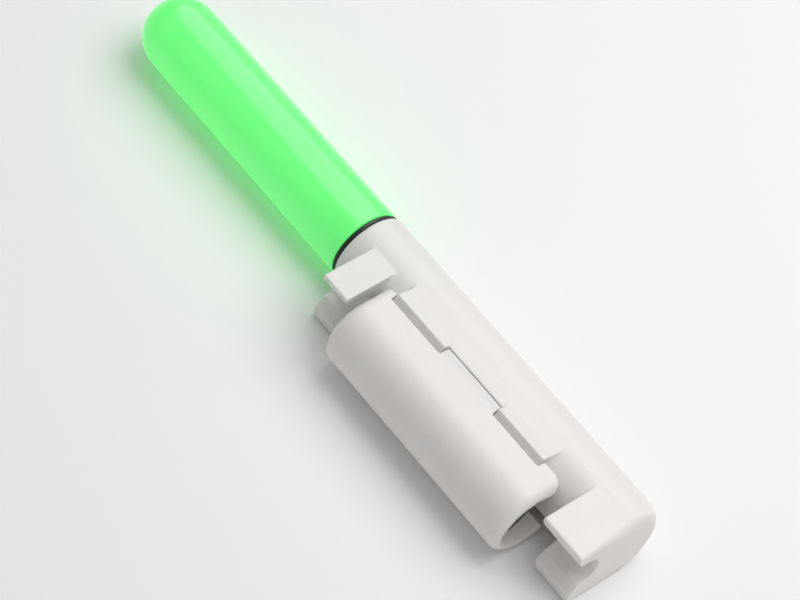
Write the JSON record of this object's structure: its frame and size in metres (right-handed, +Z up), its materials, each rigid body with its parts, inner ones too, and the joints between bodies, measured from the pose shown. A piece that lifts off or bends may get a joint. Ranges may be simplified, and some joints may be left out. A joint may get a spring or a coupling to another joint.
{
  "type": "fishing rod tip night light",
  "caption": "Clip-on night light for a rod tip: green light tube plugged into a white holder with grooved end hooks and a hinged, foam-padded clamp sleeve.",
  "frame": {"origin": "middle of the bounding box's bottom face, at the level of the flat undersides of the two hooks", "axes": "+X along the light from the dome to the tail, -Y towards the rod and the clamp sleeve, +Z up through the hinge side"},
  "size_m": [0.0724, 0.0142, 0.0084],
  "materials": {
    "holder_white": "satin moulded off-white plastic",
    "tube_green": "translucent green plastic, lit from inside",
    "seal_rubber": "black rubber ring",
    "black_rubber": "soft black rubber",
    "plug_white": "white moulded plastic",
    "led_epoxy": "clear green-tinted epoxy",
    "chip_die": "light-emitting chip",
    "lead_tin": "tinned steel wire",
    "bush_black": "black moulded plastic",
    "contact_brass": "rolled brass",
    "contact_nickel": "nickel-plated spring strip",
    "can_steel": "drawn stainless steel",
    "collar_blue": "moulded insulating collar",
    "pin_steel": "plain steel wire",
    "pad_foam": "closed-cell black foam",
    "pad_tape": "double-sided adhesive tape"
  },
  "bodies": {
    "holder": {"holder_body": "holder_white", "hinge_pin": "pin_steel", "battery_cushion": "black_rubber"},
    "lamp": {"light_tube": "tube_green", "seal_ring": "seal_rubber", "lamp_plug": "plug_white", "led_lens": "led_epoxy", "led_chip": "chip_die", "led_anode_lead": "lead_tin", "led_cathode_lead": "lead_tin", "led_holder": "plug_white", "socket_insulator": "bush_black", "pin_contact": "contact_brass", "can_contact": "contact_nickel", "battery_can": "can_steel", "battery_gasket": "collar_blue", "battery_pin": "can_steel"},
    "clamp": {"clamp_sleeve": "holder_white", "clamp_pad": "pad_foam", "pad_adhesive": "pad_tape"}
  },
  "joints": [
    {"name": "lamp_slide", "type": "slide", "parent": "holder", "child": "lamp", "axis": [-1, 0, 0], "range_m": [0, 0.008]},
    {"name": "clamp_hinge", "type": "hinge", "parent": "holder", "child": "clamp", "pos_m": [0.0166, 0.00002, 0.00762], "axis": [-1, 0, 0], "range_deg": [0, 80]}
  ]
}
